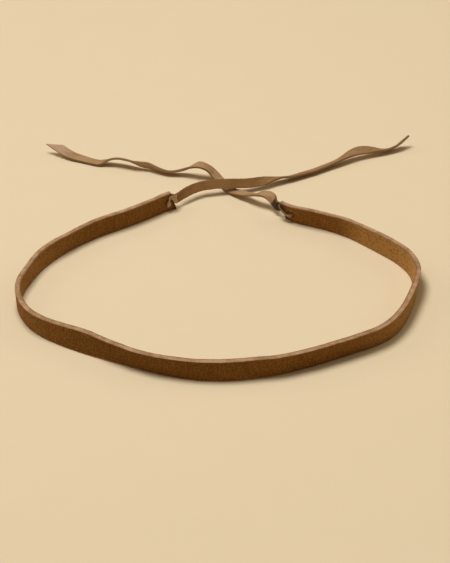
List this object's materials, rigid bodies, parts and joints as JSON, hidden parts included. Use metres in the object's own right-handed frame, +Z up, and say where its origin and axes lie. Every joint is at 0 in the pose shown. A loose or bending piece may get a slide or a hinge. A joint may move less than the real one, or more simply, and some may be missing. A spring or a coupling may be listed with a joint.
{
  "type": "headband",
  "caption": "Flat leather strap headband standing on its edge as an open loop, with a flat leather tie looped through a hole at each end and the ties crossed behind.",
  "frame": {"origin": "on the surface under the middle of the strap's bounding box, without the ties", "axes": "+Z up from the surface that the strap's lower edge stands on, +X along the loop's width, +Y towards the open back of the loop where the ties leave it"},
  "size_m": [0.2247, 0.2271, 0.012],
  "materials": {
    "strap_leather": "matt brown split leather, lighter raw cut edges",
    "tie_leather": "matt tan leather lace with darker cut edges"
  },
  "bodies": {
    "strap": {"strap": "strap_leather", "right_tie_loop": "tie_leather"},
    "left_loop": {"left_tie_loop": "tie_leather"},
    "left_tail": {"left_tie_tail": "tie_leather"},
    "right_tail": {"right_tie_tail": "tie_leather"}
  },
  "joints": [
    {"name": "left_tie_lift", "type": "hinge", "parent": "strap", "child": "left_loop", "pos_m": [-0.02967, 0.07823, 0.006], "axis": [0.4936, -0.8676, -0.06], "range_deg": [0, 12]},
    {"name": "left_tie_swing", "type": "hinge", "parent": "left_loop", "child": "left_tail", "pos_m": [-0.023, 0.0827, 0.0064], "axis": [0, 0, 1], "range_deg": [0, 12]},
    {"name": "right_tie_swing", "type": "hinge", "parent": "strap", "child": "right_tail", "pos_m": [0.0346, 0.0722, 0.0066], "axis": [0, 0, 1], "range_deg": [-3, 12]}
  ]
}
